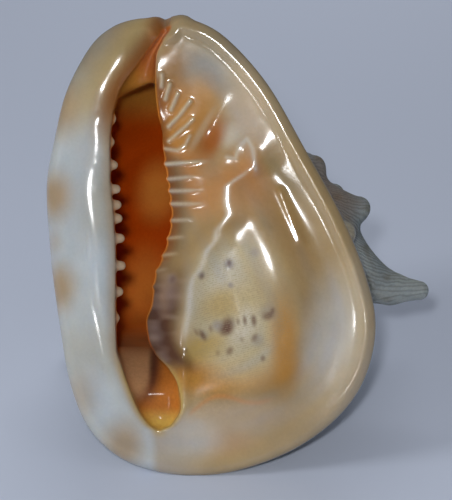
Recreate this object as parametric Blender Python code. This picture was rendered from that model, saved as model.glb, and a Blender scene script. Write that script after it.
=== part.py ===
"""Helmet shell: one grown sea shell, leaning back on its dorsal horns with the aperture forward.

The wall is one implicit field. Negative is inside the wall, zero is the surface. The field
lives in the shell's own frame in millimetres: x to the right as the aperture side is faced,
y dorsal, z anterior (towards the siphonal canal). The shield lies near y = 0.
"""
import math

import bmesh
import bpy
import numpy as np
import openvdb
from mathutils import Matrix, Vector

# ---- driving dimensions, millimetres and degrees ---------------------------------------------
GRID_STEP = 1.5
TRIANGLES = 10400
LEAN_BACK = 24.5
ROLL = 0.0
FOOT_WEAR = 0.9            # how much is worn flat where the shell stands
FIELD_LOW = (-84.0, -20.0, -12.0)
FIELD_HIGH = (126.0, 176.0, 228.0)

APEX = (30.0, 60.0, 48.0)
CANAL_END = (-16.0, 34.0, 216.0)
LAST_RADIUS = 86.0         # shoulder radius of the last whorl, a quarter turn before its lip
WALL = 4.2
COLUMELLA_RADIUS = 13.0
SPIRE_WHORLS = 5
BLIND_END = 0.3            # turns into the whorl before the last one where the hollow stops

# height along the coil axis over shoulder radius -> radius over shoulder radius
WHORL_PROFILE = ((0.3, 0.93), (0.5, 0.99), (0.72, 1.0), (0.9, 0.985), (1.05, 0.945), (1.25, 0.85),
                 (1.45, 0.71), (1.65, 0.53), (1.82, 0.35), (2.0, 0.2), (2.2, 0.12), (3.2, 0.1))

# shoulder horns: degrees round the coil from the aperture side, reach out, droop, root radius
HORNS = ((87, 24, 14, 14), (128, 27, 19, 14), (165, 25, 34, 15), (205, 29, 17, 15), (242, 25, 12, 14))
HORN_TIP_RADIUS = 4.8
MIDDLE_KNOBS = (62, 94, 126, 158, 190, 222, 250)
FRONT_KNOBS = (66, 98, 128, 158, 188, 218, 248)
SPIRE_KNOB_TURNS = 3
SPIRE_KNOBS_PER_TURN = 9

# rim of the shield and the outer lip, (x, z), from the canal notch round by the lip
RIM = ((-17, 214), (-21, 218.5), (-30, 219), (-42, 215), (-53, 205), (-64, 184), (-70, 160), (-73.5, 138),
       (-71.5, 105), (-67, 70), (-62, 43), (-53, 22), (-36, 7), (-12, 0.5), (14, 1.5), (42, 11),
       (64, 26), (78, 45), (84, 70), (80, 94), (68, 124), (50, 157), (32, 188), (12, 210), (-4, 218.5),
       (-12, 219))

# (z, x) of the two edges of the aperture
LIP_EDGE = ((14, -19), (22, -20.5), (25, -24), (32, -29), (43, -33.5), (53, -37), (62, -39.5), (80, -40),
            (105, -40), (125, -41), (143, -42.5), (160, -42.5), (171, -41.5), (183, -38.5), (196, -30),
            (205, -23.5), (213, -18), (224, -15))
COLUMELLA_EDGE = ((14, -18), (22, -18.5), (25, -13.5), (34, -9), (44, -10.5), (52, -15), (58, -21), (66, -25),
                  (74, -26), (82, -23.5), (96, -21.5), (105, -18), (113, -15.5), (125, -13.5), (136, -14.5),
                  (151, -17), (162, -19), (174, -20.5), (190, -21.5), (201, -21), (209, -17.5), (216, -13),
                  (224, -11))
SLOT_TOP = 215
BEHIND_FACE = 5.0          # the whorls stay this far behind the face of the aperture side
LIP_TEETH = ((149, 3.2), (137.5, 4.2), (130, 3.8), (123.5, 3.8), (114, 4.2), (101, 4.4), (88.5, 3.2),
             (171, 1.4), (160, 1.6), (76, 1.4))
# columellar folds: z at the aperture, length to the right, rise to the right, height
FOLDS = ((149.5, 22, 1.5, 1.4), (142.3, 16, 1.5, 0.9), (136.6, 17, 0.5, 0.9), (130.5, 17, 0.0, 0.9),
         (122.6, 12, 0.5, 0.7), (114, 9, 1.0, 0.55), (106, 8, 1.0, 0.5), (98.5, 6, 1.0, 0.4),
         (91, 6, 0.5, 0.35))
# slanting teeth above the folds, as (x, z) along each, with their height
DENTICLES = ((((-18.2, 186.5), (-18, 192)), 1.2), (((-16.4, 180.5), (-14.3, 187.5)), 1.4),
             (((-13.8, 175.5), (-10.5, 183)), 1.4), (((-15, 167.5), (-10, 172.5), (-4.6, 179.5)), 1.3),
             (((-15, 160.5), (-6.5, 167.8), (-3.3, 171)), 1.0),
             (((-17.5, 157), (-10.7, 156), (-6.9, 158.5), (-4.8, 163)), 0.9))
HOLLOW, HOLLOW_SLANT = (4.5, 164.5), 64    # (x, z) and slant of the hollow to the right of those teeth
# (z, x) of the crooked ridge down the shield, beside the folds
RIDGE = ((40, -8), (60, -8), (71, -6.5), (79.5, -5), (89, -4.5), (95, -3), (100, 0.5), (107.5, 3), (113, 7),
         (117, 8), (126, 13.5), (132, 12.5), (138, 13), (145.5, 22), (152, 27), (170, 32))
# narrow crests, as (x, z) along each, with height and half width: above the ridge, below it by the
# gutter, and on the right of the shield
CRESTS = ((((13, 152.5), (17, 152), (18.5, 157.5), (22.5, 161.5), (25, 157), (26.5, 147)), 0.8, 2.4),
          (((-7.5, 58), (-7, 50), (-7.5, 43), (-7, 35), (-9.5, 29.5), (-14, 26.5)), 1.0, 2.6),
          (((38.6, 136), (43, 125), (48, 113)), 0.9, 2.0))

# siphonal canal: a gutter that bends dorsally, open along its anterior side
SPOUT = ((-21, 18, 166), (-20, 22, 181), (-17, 33, 189), (-13, 46, 193), (-10, 57, 199))
SPOUT_RADII = (16, 15, 13.5, 12.5, 11.5)
SPOUT_BORE = (8, 8, 8.5, 8.5, 8.5)
SPOUT_BORE_END = (-6, 78, 211)
SPOUT_SLIT = ((22, 3.4), (36, 4.8), (60, 8.0))     # (y, half width)
BODY_TOP = 158             # where the last whorl hands over to the canal, along the coil axis

SHELL_COLOUR = (0.62, 0.42, 0.25, 1.0)


# ---- field tools -------------------------------------------------------------------------------
def unit(v):
    v = np.asarray(v, float)
    return v / np.linalg.norm(v)


def soft_min(a, b, blend):
    t = np.clip(0.5 + 0.5 * (b - a) / blend, 0, 1)
    return b + (a - b) * t - blend * t * (1 - t)


def soft_max(a, b, blend):
    return -soft_min(-a, -b, blend)


def smoothstep(low, high, v):
    t = np.clip((v - low) / (high - low), 0, 1)
    return t * t * (3 - 2 * t)


def hump(centre, half_width, v):
    return np.exp(-((v - centre) / half_width) ** 2)


def curve(knots, v):
    """A smooth monotone curve through a few knots, read at v."""
    at, value = np.asarray(knots, float).T
    step = np.diff(at)
    slope = np.diff(value) / step
    tangent = np.zeros_like(value)
    tangent[0], tangent[-1] = slope[0], slope[-1]
    before, after = slope[:-1], slope[1:]
    same_way = before * after > 0
    total = np.where(same_way, before + after, 1.0)
    tangent[1:-1] = np.where(same_way, 2 * before * after / total, 0.0)
    v = np.clip(v, at[0], at[-1])
    i = np.clip(np.searchsorted(at, v) - 1, 0, len(at) - 2)
    width = step[i]
    t = (v - at[i]) / width
    return (value[i] * (1 + 2 * t) * (1 - t) ** 2
            + tangent[i] * width * t * (1 - t) ** 2
            + value[i + 1] * t * t * (3 - 2 * t)
            + tangent[i + 1] * width * t * t * (t - 1))


def closed_spline(points, per_span=12):
    """Closed Catmull-Rom curve through the points, as a polygon."""
    p = np.asarray(points, float)
    a, b, c, d = np.roll(p, 1, 0), p, np.roll(p, -1, 0), np.roll(p, -2, 0)
    t = (np.arange(per_span) / per_span)[None, :, None]
    a, b, c, d = (q[:, None, :] for q in (a, b, c, d))
    loop = 0.5 * (2 * b + (c - a) * t + (2 * a - 5 * b + 4 * c - d) * t ** 2
                  + (3 * b - a - 3 * c + d) * t ** 3)
    return loop.reshape(-1, 2)


def polygon_distance(polygon, x, z):
    """Distance to a closed polygon in the face plane, negative inside."""
    x, z = np.broadcast_arrays(x, z)
    nearest = np.full(x.shape, np.inf)
    inside = np.zeros(x.shape, bool)
    for (ax, az), (bx, bz) in zip(polygon, np.roll(polygon, -1, 0)):
        ex, ez = bx - ax, bz - az
        t = np.clip(((x - ax) * ex + (z - az) * ez) / (ex * ex + ez * ez), 0, 1)
        nearest = np.minimum(nearest, (x - ax - t * ex) ** 2 + (z - az - t * ez) ** 2)
        if ez != 0:
            inside ^= ((az > z) != (bz > z)) & (x < (z - az) / ez * ex + ax)
    return np.sqrt(nearest) * np.where(inside, -1, 1)


class PlaneMap:
    """A function of (x, z) sampled once on a grid, smoothed if asked, and read back smoothly."""

    def __init__(self, function, low, high, step, smoothings=0):
        self.low, self.step = low, step
        self.xs = np.arange(low[0], high[0] + step, step)
        self.zs = np.arange(low[1], high[1] + step, step)
        self.values = function(self.xs[:, None], self.zs[None, :])
        for _ in range(smoothings):
            for axis in (0, 1):
                before, after = np.roll(self.values, 1, axis), np.roll(self.values, -1, axis)
                self.values = 0.5 * self.values + 0.25 * (before + after)

    def __call__(self, x, z):
        margin = 1.001
        i = np.clip((x - self.low[0]) / self.step, 0, len(self.xs) - margin)
        j = np.clip((z - self.low[1]) / self.step, 0, len(self.zs) - margin)
        i, j = np.broadcast_arrays(i, j)
        i0, j0 = i.astype(int), j.astype(int)
        u, w = i - i0, j - j0
        v = self.values
        return (v[i0, j0] * (1 - u) * (1 - w) + v[i0 + 1, j0] * u * (1 - w)
                + v[i0, j0 + 1] * (1 - u) * w + v[i0 + 1, j0 + 1] * u * w)


def round_cone(x, y, z, start, end, start_radius, end_radius):
    start, end = np.asarray(start, float), np.asarray(end, float)
    length = np.linalg.norm(end - start)
    d = (end - start) / length
    along = ((x - start[0]) * d[0] + (y - start[1]) * d[1] + (z - start[2]) * d[2]) / length
    t = np.clip(along, 0, 1)
    reach = t * length
    gap = np.sqrt((x - start[0] - reach * d[0]) ** 2 + (y - start[1] - reach * d[1]) ** 2
                  + (z - start[2] - reach * d[2]) ** 2)
    return gap - (start_radius + (end_radius - start_radius) * t)


def tube(x, y, z, points, radii):
    field = None
    for a, b, ra, rb in zip(points[:-1], points[1:], radii[:-1], radii[1:]):
        piece = round_cone(x, y, z, a, b, ra, rb)
        field = piece if field is None else soft_min(field, piece, 2.0)
    return field


# ---- the coil ----------------------------------------------------------------------------------
TURN = 2 * math.pi
AXIS = unit(np.subtract(CANAL_END, APEX))
RIGHT = unit(np.array([1.0, 0, 0]) - AXIS[0] * AXIS)
VENTRAL = np.cross(RIGHT, AXIS)


def coil_coordinates(x, y, z):
    """Height along the coil axis, distance from it, and the angle round it from the ventral side."""
    q = (x - APEX[0], y - APEX[1], z - APEX[2])
    height, right, ventral = (q[0] * d[0] + q[1] * d[1] + q[2] * d[2] for d in (AXIS, RIGHT, VENTRAL))
    return height, np.hypot(right, ventral), np.arctan2(right, ventral) % TURN


def shoulder_radius(angle, whorl):
    """Shoulder radius at an angle; whorl 0 is the last one and the spire's are 1, 2, 3..."""
    t = (angle - 0.75 * TURN) / TURN - whorl
    late = 0.431 * t - 0.274 * t * t
    early = -0.705 + 0.56 * (t + 1)
    return LAST_RADIUS * np.exp(np.where(t > -1, late, early))


def whorl_section(distance, height, shoulder):
    """Outer section of one whorl: a tapering side under a sloping ramp."""
    r, k = distance / shoulder, height / shoulder
    side = (r - curve(WHORL_PROFILE, k)) * 0.9
    ramp = (0.40 - 0.30 * (1 - r) - k) * 0.957
    return soft_max(soft_max(side, ramp, 0.16) * shoulder, height - BODY_TOP, 8)


def on_whorl(degrees, height_share, whorl=0):
    """A point on a whorl's outside, the outward direction there, and the shoulder radius."""
    angle = math.radians(degrees)
    shoulder = float(shoulder_radius(angle, whorl))
    reach = float(curve(WHORL_PROFILE, height_share)) * shoulder
    out = math.sin(angle) * RIGHT + math.cos(angle) * VENTRAL
    return np.array(APEX) + height_share * shoulder * AXIS + reach * out, out, shoulder


def knobs(x, y, z, field):
    for degrees, reach, droop, root in HORNS:
        p, out, _ = on_whorl(degrees, 0.5)
        tip = p + reach * out - droop * AXIS
        bend = p + 0.42 * reach * out - 0.66 * droop * AXIS
        foot = round_cone(x, y, z, p - 7 * out + 3 * AXIS, bend, root, 0.55 * root)
        finger = round_cone(x, y, z, bend, tip, 0.55 * root, HORN_TIP_RADIUS)
        field = soft_min(field, soft_min(foot, finger, 4), 14)
    for row, share, root, reach, tip in ((MIDDLE_KNOBS, 1.03, 11, 7, 6), (FRONT_KNOBS, 1.42, 10, 5, 5.5)):
        for degrees in row:
            p, out, _ = on_whorl(degrees, share)
            knob = round_cone(x, y, z, p - 4 * out, p + reach * out - 2 * AXIS, root, tip)
            field = soft_min(field, knob, 10)
    for turn in range(1, SPIRE_KNOB_TURNS + 1):
        for n in range(SPIRE_KNOBS_PER_TURN):
            degrees = 360 * n / SPIRE_KNOBS_PER_TURN
            p, out, shoulder = on_whorl(degrees, 0.42, turn)
            aim = 0.10 * out - 0.08 * AXIS
            knob = round_cone(x, y, z, p - 0.05 * shoulder * out, p + shoulder * aim,
                              0.12 * shoulder, 0.07 * shoulder)
            field = soft_min(field, knob, 0.09 * shoulder)
    return field


# ---- the aperture side ---------------------------------------------------------------------------
def slot_distance(x, z):
    """Distance to the aperture's outline, negative in the opening; folds end in beads on its edge."""
    beads = sum(0.9 * hump(fold[0], 1.3, z) for fold in FOLDS)
    left, right = curve(LIP_EDGE, z), curve(COLUMELLA_EDGE, z) - beads
    return soft_max(soft_max(soft_max(left - x, x - right, 2), 21.5 - z, 4), z - SLOT_TOP, 3)


def line_distance(x, z, points):
    """Distance in the face plane to a chain of straight pieces."""
    nearest = np.inf
    for (ax, az), (bx, bz) in zip(points[:-1], points[1:]):
        ex, ez = bx - ax, bz - az
        t = np.clip(((x - ax) * ex + (z - az) * ez) / (ex * ex + ez * ez), 0, 1)
        nearest = np.minimum(nearest, np.hypot(x - ax - t * ex, z - az - t * ez))
    return nearest


def fold_relief(x, z):
    """Height of the folds and slanting teeth beside the aperture."""
    raised = np.zeros(np.broadcast(x, z).shape)
    for start, length, rise, height in FOLDS:
        t = (x - float(curve(COLUMELLA_EDGE, start))) / length
        along = smoothstep(-0.3, 0.0, t) * smoothstep(1.1, 0.5, t)
        raised = np.maximum(raised, height * along * hump(0, 0.9, z - start - rise * t))
    for points, height in DENTICLES:
        raised = np.maximum(raised, height * hump(0, 0.9, line_distance(x, z, points)))
    return raised


FACE_LOW, FACE_HIGH = (-100, -30), (130, 250)
RIM_MAP = PlaneMap(lambda x, z: polygon_distance(closed_spline(RIM), x, z), FACE_LOW, FACE_HIGH, 0.75)
ROUNDED_RIM_MAP = PlaneMap(lambda x, z: RIM_MAP(x, z), FACE_LOW, FACE_HIGH, 0.75, 60)


def face_relief(x, z):
    """Everything raised on the aperture side: the rim's crest, the shield's crests and the folds."""
    depth_in = -RIM_MAP(x, z)
    on_shield = smoothstep(-36, -10, x) * smoothstep(18, 58, z)
    rim_crest = 2.2 * hump(4.8, 2.6, depth_in) * on_shield
    crest = sum(height * hump(0, width, line_distance(x, z, points)) for points, height, width in CRESTS)
    return rim_crest + crest + fold_relief(x, z)


def face_shape(x, z):
    """How far dorsal the aperture side lies at (x, z), without its relief."""
    depth_in = -ROUNDED_RIM_MAP(x, z)
    lip = smoothstep(-10, -36, x)
    low = smoothstep(60, 20, z)
    body_bulge = -6.0 * np.exp(-((x - 38) / 27) ** 2 - ((z - 94) / 40) ** 2)
    ridge = -2.4 * hump(curve(RIDGE, z), 7.5, x) * smoothstep(40, 60, z) * smoothstep(172, 150, z)
    upper = smoothstep(140, 168, z)
    trough = 3.0 * smoothstep(4, 19, depth_in) * smoothstep(42, 19, depth_in) * smoothstep(-6, 14, x)
    dish = 4.6 * smoothstep(2, 44, depth_in)
    trough = trough * (1 - upper) + dish * upper
    slant = math.radians(HOLLOW_SLANT)
    along = (x - HOLLOW[0]) * math.cos(slant) + (z - HOLLOW[1]) * math.sin(slant)
    across = (z - HOLLOW[1]) * math.cos(slant) - (x - HOLLOW[0]) * math.sin(slant)
    hollow = 2.6 * hump(0, 15, along) * hump(0, 6, across)
    shield = trough + hollow + body_bulge + ridge - 0.5
    ripple = 0.35 * np.sin(z / 7.5 + 1.3 * np.sin(x / 9)) + 0.3 * np.sin(z / 15 - x / 11)
    roll = 1.5 - 7.5 * hump(21, 15, depth_in) + ripple
    low_shield = -4.5 + 6.1 * smoothstep(42, 3, depth_in) + 0.4 * ripple
    front = shield * (1 - lip) + roll * lip
    front = front * (1 - low) + low_shield * low
    return front + rounded_into_aperture(x, z)


def rounded_into_aperture(x, z):
    """Both edges of the aperture curve inward; the lip's only near the canal."""
    beside = np.clip(1 - (x - curve(COLUMELLA_EDGE, z)) / 17, 0, 1)
    columella = (4.5 - 1.5 * smoothstep(150, 180, z)) * beside ** 2 * smoothstep(44, 70, z)
    lip_side = np.clip(1 + (x - curve(LIP_EDGE, z)) / 20, 0, 1)
    middle = (curve(LIP_EDGE, z) + curve(COLUMELLA_EDGE, z)) / 2
    return np.where(x > middle, columella, 5.0 * lip_side ** 2 * smoothstep(150, 185, z))


def face_back(x, z):
    """The plain dorsal side of the same plate; the lip and the low rim are the thickest."""
    lip = smoothstep(-10, -36, x)
    low = smoothstep(58, 18, z)
    depth_in = -ROUNDED_RIM_MAP(x, z)
    return face_shape(x, z) + 6 + 7.5 * lip + 3.5 * low * (1 - lip) + 0.05 * np.maximum(depth_in, 0)


SLOT_MAP = PlaneMap(slot_distance, FACE_LOW, FACE_HIGH, 0.5)
FRONT_MAP = PlaneMap(lambda x, z: face_shape(x, z) - face_relief(x, z), FACE_LOW, FACE_HIGH, 0.5)
BACK_MAP = PlaneMap(face_back, FACE_LOW, FACE_HIGH, 0.75)


def face_plate(x, y, z):
    """The shield and the outer lip: one plate with a rolled margin."""
    front, back = FRONT_MAP(x, z), BACK_MAP(x, z)
    middle, half = (front + back) / 2, (back - front) / 2
    radius = np.minimum(half, 6.5)
    across, through = RIM_MAP(x, z) + radius, np.abs(y - middle) - (half - radius)
    outside = np.hypot(np.maximum(across, 0), np.maximum(through, 0))
    return outside + np.minimum(np.maximum(across, through), 0) - radius


def lip_teeth(x, y, z, field):
    for height, size in LIP_TEETH:
        edge = float(curve(LIP_EDGE, height))
        tooth = round_cone(x, y, z, (edge - 6, -1.0, height), (edge + size - 2.0, 3.0, height), 3.2, 1.9)
        ridge = round_cone(x, y, z, (edge + size - 2.0, 3.0, height), (edge - 1.0, 16.0, height), 1.9, 1.2)
        field = soft_min(field, soft_min(tooth, ridge, 1.5), 2.0)
    return field


def outside_of_shell(x, y, z):
    height, distance, angle = coil_coordinates(x, y, z)
    last = whorl_section(distance, height, shoulder_radius(angle, 0))
    quarter = 0.25 * TURN
    past_end = np.where(angle < quarter, angle + TURN, angle)
    ending = whorl_section(distance, height, shoulder_radius(past_end, 0))
    ending = soft_max(ending, distance * np.sin(angle), 2)
    last = np.where(angle < quarter, soft_min(last, ending, 2), np.where(angle > 3 * quarter, ending, last))
    growing_edge = np.where(angle > math.pi, 4.0 - y, -50.0)
    field = soft_max(last, growing_edge, 4)
    for whorl in range(1, SPIRE_WHORLS + 1):
        spire = whorl_section(distance, height, shoulder_radius(angle, whorl))
        field = soft_min(field, spire, 2.0)
    field = knobs(x, y, z, field)
    field = soft_min(field, tube(x, y, z, SPOUT, SPOUT_RADII), 14)
    lining = soft_max(main_chamber(x, y, z) - WALL, 3.0 - y, 4)
    field = soft_min(field, lining, 4)
    field = soft_max(field, FRONT_MAP(x, z) + BEHIND_FACE - y, 3)
    return soft_min(field, face_plate(x, y, z), 7)


def main_chamber(x, y, z):
    """The last whorl's living chamber and the throat that opens it at the aperture."""
    height, distance, angle = coil_coordinates(x, y, z)
    outer, middle, inner = (whorl_section(distance, height, shoulder_radius(angle, n)) for n in range(3))
    column = COLUMELLA_RADIUS - distance
    last = soft_max(soft_max(outer + WALL, 2.0 - middle, 6), column, 6)
    last = soft_max(last, np.where(angle > math.pi, 12.0 - y, -50.0), 8)
    last = soft_max(last, np.where(angle > math.pi, WALL - (TURN - angle) * distance, -50.0), 4)
    earlier = soft_max(soft_max(middle + WALL, 2.0 - inner, 4), 0.6 * column, 4)
    earlier = soft_max(earlier, (BLIND_END * TURN - angle) * distance, 6)
    chamber = np.minimum(last, earlier)
    floor = 6 + 42 * smoothstep(38, 80, z) - 26 * smoothstep(140, 180, z) - 11 * smoothstep(168, 192, z)
    throat = soft_max(SLOT_MAP(x, z), y - floor, 8)
    return soft_min(chamber, throat, 8)


def shell_wall(x, y, z):
    canal = tube(x, y, z, SPOUT[:-1] + (SPOUT_BORE_END,), SPOUT_BORE)
    path = [(point[1], point[0], point[2]) for point in SPOUT]
    across = np.abs(x - curve([p[:2] for p in path], y)) - curve(SPOUT_SLIT, y)
    slit = soft_max(soft_max(across, curve([p[::2] for p in path], y) - z, 4), SPOUT_SLIT[0][0] - y, 4)
    hollow = soft_min(main_chamber(x, y, z), soft_min(canal, slit, 3), 6)
    field = soft_max(outside_of_shell(x, y, z), -hollow, 1.2)
    return lip_teeth(x, y, z, field)


# ---- meshing ---------------------------------------------------------------------------------------
def sample_field(step):
    low, high = np.array(FIELD_LOW), np.array(FIELD_HIGH)
    xs, ys, zs = (np.arange(low[i], high[i], step) for i in range(3))
    values = np.empty((len(xs), len(ys), len(zs)), np.float32)
    slab = 16
    for i in range(0, len(xs), slab):
        x, y, z = np.meshgrid(xs[i:i + slab], ys, zs, indexing="ij")
        values[i:i + slab] = shell_wall(x, y, z)
    return values


def surface_mesh(step):
    grid = openvdb.FloatGrid(1000.0)
    grid.copyFromArray(sample_field(step))
    points, quads = grid.convertToQuads(isovalue=0.0)
    points = np.asarray(points) * step + np.array(FIELD_LOW)
    return points, np.asarray(quads)


# ==== build ====
def new_object(name, mesh):
    item = bpy.data.objects.new(name, mesh)
    bpy.context.scene.collection.objects.link(item)
    return item


def lean_and_scale():
    """From the shell's own frame in millimetres to the standing shell in metres."""
    lean = Matrix.Rotation(-math.radians(LEAN_BACK), 4, "X")
    return lean @ Matrix.Rotation(math.radians(ROLL), 4, "Y") @ Matrix.Scale(0.001, 4)


def simplified(item, triangles):
    """The same surface with fewer, well placed triangles."""
    reduce = item.modifiers.new("fewer_triangles", "DECIMATE")
    reduce.ratio = triangles / (2 * len(item.data.polygons))
    reduce.use_collapse_triangulate = True
    evaluated = item.evaluated_get(bpy.context.evaluated_depsgraph_get())
    mesh = bpy.data.meshes.new_from_object(evaluated)
    item.modifiers.clear()
    return mesh


def keep_largest_body(bm):
    seen, bodies = set(), []
    for seed in bm.verts:
        if seed in seen:
            continue
        stack, body = [seed], []
        seen.add(seed)
        while stack:
            vert = stack.pop()
            body.append(vert)
            others = [edge.other_vert(vert) for edge in vert.link_edges]
            fresh = [other for other in others if other not in seen]
            seen.update(fresh)
            stack.extend(fresh)
        bodies.append(body)
    bodies.sort(key=len)
    for body in bodies[:-1]:
        bmesh.ops.delete(bm, geom=body, context="VERTS")


def wear_feet(bm):
    """Flatten the lowest points of the shell into the feet it stands on."""
    ground = min(vert.co.z for vert in bm.verts) + 0.001 * FOOT_WEAR
    everything = bm.verts[:] + bm.edges[:] + bm.faces[:]
    cut = bmesh.ops.bisect_plane(bm, geom=everything, dist=1e-6, plane_co=(0, 0, ground),
                                 plane_no=(0, 0, 1), clear_inner=True)
    rim = [part for part in cut["geom_cut"] if isinstance(part, bmesh.types.BMEdge)]
    bmesh.ops.holes_fill(bm, edges=rim, sides=0)
    bmesh.ops.triangulate(bm, faces=bm.faces[:])
    return ground


def centre_on_origin(bm, ground):
    xs = [vert.co.x for vert in bm.verts]
    ys = [vert.co.y for vert in bm.verts]
    middle = Vector(((min(xs) + max(xs)) / 2, (min(ys) + max(ys)) / 2, ground))
    bmesh.ops.translate(bm, verts=bm.verts[:], vec=-middle)


def shell_material():
    material = bpy.data.materials.new("glossy_cream_orange_shell")
    material.use_nodes = True
    surface = material.node_tree.nodes["Principled BSDF"]
    surface.inputs["Base Color"].default_value = SHELL_COLOUR
    surface.inputs["Roughness"].default_value = 0.22
    surface.inputs["Metallic"].default_value = 0.0
    return material


def main():
    for item in list(bpy.data.objects):
        bpy.data.objects.remove(item)
    points, quads = surface_mesh(GRID_STEP)
    mesh = bpy.data.meshes.new("grown_surface")
    mesh.from_pydata(points.tolist(), [], quads.tolist())
    mesh.transform(lean_and_scale())
    rough = new_object("grown_surface", mesh)
    mesh = simplified(rough, TRIANGLES)
    bpy.data.objects.remove(rough)
    bm = bmesh.new()
    bm.from_mesh(mesh)
    keep_largest_body(bm)
    centre_on_origin(bm, wear_feet(bm))
    bm.to_mesh(mesh)
    bm.free()
    mesh.name = "helmet_shell"
    mesh.materials.append(shell_material())
    new_object("helmet_shell", mesh)


main()
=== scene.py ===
"""Helmet shell, its looks: the same grown surface as the frame's node, finer, with its colours and gloss.

The wall is one implicit field in the shell's own frame in millimetres: x to the right as the
aperture side is faced, y dorsal, z anterior. Negative is inside the wall, zero is the surface.
"""
import math

import bpy
import numpy as np
import openvdb
from mathutils import Matrix, Vector


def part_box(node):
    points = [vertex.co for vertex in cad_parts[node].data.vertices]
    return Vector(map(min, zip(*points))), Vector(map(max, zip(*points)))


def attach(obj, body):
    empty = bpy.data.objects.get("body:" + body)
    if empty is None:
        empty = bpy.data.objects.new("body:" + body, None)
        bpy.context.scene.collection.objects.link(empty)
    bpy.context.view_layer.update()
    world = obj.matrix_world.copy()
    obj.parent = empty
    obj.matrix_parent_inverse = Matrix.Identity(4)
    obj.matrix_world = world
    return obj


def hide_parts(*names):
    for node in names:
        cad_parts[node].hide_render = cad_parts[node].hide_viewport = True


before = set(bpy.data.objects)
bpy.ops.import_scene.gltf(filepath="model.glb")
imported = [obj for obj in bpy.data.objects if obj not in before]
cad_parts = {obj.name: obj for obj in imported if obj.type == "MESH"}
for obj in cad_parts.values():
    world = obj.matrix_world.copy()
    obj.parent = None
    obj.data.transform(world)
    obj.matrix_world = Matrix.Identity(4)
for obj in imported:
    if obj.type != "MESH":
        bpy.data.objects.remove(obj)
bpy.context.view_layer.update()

# ---- driving dimensions, millimetres and degrees ---------------------------------------------
LEAN_BACK = 24.5
ROLL = 0.0
FIELD_LOW = (-84.0, -20.0, -12.0)
FIELD_HIGH = (126.0, 176.0, 228.0)

APEX = (30.0, 60.0, 48.0)
CANAL_END = (-16.0, 34.0, 216.0)
LAST_RADIUS = 86.0         # shoulder radius of the last whorl, a quarter turn before its lip
WALL = 4.2
COLUMELLA_RADIUS = 13.0
SPIRE_WHORLS = 5
BLIND_END = 0.3            # turns into the whorl before the last one where the hollow stops

# height along the coil axis over shoulder radius -> radius over shoulder radius
WHORL_PROFILE = ((0.3, 0.93), (0.5, 0.99), (0.72, 1.0), (0.9, 0.985), (1.05, 0.945), (1.25, 0.85),
                 (1.45, 0.71), (1.65, 0.53), (1.82, 0.35), (2.0, 0.2), (2.2, 0.12), (3.2, 0.1))

# shoulder horns: degrees round the coil from the aperture side, reach out, droop, root radius
HORNS = ((87, 24, 14, 14), (128, 27, 19, 14), (165, 25, 34, 15), (205, 29, 17, 15), (242, 25, 12, 14))
HORN_TIP_RADIUS = 4.8
MIDDLE_KNOBS = (62, 94, 126, 158, 190, 222, 250)
FRONT_KNOBS = (66, 98, 128, 158, 188, 218, 248)
SPIRE_KNOB_TURNS = 3
SPIRE_KNOBS_PER_TURN = 9

# rim of the shield and the outer lip, (x, z), from the canal notch round by the lip
RIM = ((-17, 214), (-21, 218.5), (-30, 219), (-42, 215), (-53, 205), (-64, 184), (-70, 160), (-73.5, 138),
       (-71.5, 105), (-67, 70), (-62, 43), (-53, 22), (-36, 7), (-12, 0.5), (14, 1.5), (42, 11),
       (64, 26), (78, 45), (84, 70), (80, 94), (68, 124), (50, 157), (32, 188), (12, 210), (-4, 218.5),
       (-12, 219))

# (z, x) of the two edges of the aperture
LIP_EDGE = ((14, -19), (22, -20.5), (25, -24), (32, -29), (43, -33.5), (53, -37), (62, -39.5), (80, -40),
            (105, -40), (125, -41), (143, -42.5), (160, -42.5), (171, -41.5), (183, -38.5), (196, -30),
            (205, -23.5), (213, -18), (224, -15))
COLUMELLA_EDGE = ((14, -18), (22, -18.5), (25, -13.5), (34, -9), (44, -10.5), (52, -15), (58, -21), (66, -25),
                  (74, -26), (82, -23.5), (96, -21.5), (105, -18), (113, -15.5), (125, -13.5), (136, -14.5),
                  (151, -17), (162, -19), (174, -20.5), (190, -21.5), (201, -21), (209, -17.5), (216, -13),
                  (224, -11))
SLOT_TOP = 215
BEHIND_FACE = 5.0          # the whorls stay this far behind the face of the aperture side
LIP_TEETH = ((149, 3.2), (137.5, 4.2), (130, 3.8), (123.5, 3.8), (114, 4.2), (101, 4.4), (88.5, 3.2),
             (171, 1.4), (160, 1.6), (76, 1.4))
# columellar folds: z at the aperture, length to the right, rise to the right, height
FOLDS = ((149.5, 22, 1.5, 1.4), (142.3, 16, 1.5, 0.9), (136.6, 17, 0.5, 0.9), (130.5, 17, 0.0, 0.9),
         (122.6, 12, 0.5, 0.7), (114, 9, 1.0, 0.55), (106, 8, 1.0, 0.5), (98.5, 6, 1.0, 0.4),
         (91, 6, 0.5, 0.35))
# slanting teeth above the folds, as (x, z) along each, with their height
DENTICLES = ((((-18.2, 186.5), (-18, 192)), 1.2), (((-16.4, 180.5), (-14.3, 187.5)), 1.4),
             (((-13.8, 175.5), (-10.5, 183)), 1.4), (((-15, 167.5), (-10, 172.5), (-4.6, 179.5)), 1.3),
             (((-15, 160.5), (-6.5, 167.8), (-3.3, 171)), 1.0),
             (((-17.5, 157), (-10.7, 156), (-6.9, 158.5), (-4.8, 163)), 0.9))
HOLLOW, HOLLOW_SLANT = (4.5, 164.5), 64    # (x, z) and slant of the hollow to the right of those teeth
# (z, x) of the crooked ridge down the shield, beside the folds
RIDGE = ((40, -8), (60, -8), (71, -6.5), (79.5, -5), (89, -4.5), (95, -3), (100, 0.5), (107.5, 3), (113, 7),
         (117, 8), (126, 13.5), (132, 12.5), (138, 13), (145.5, 22), (152, 27), (170, 32))
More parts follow.
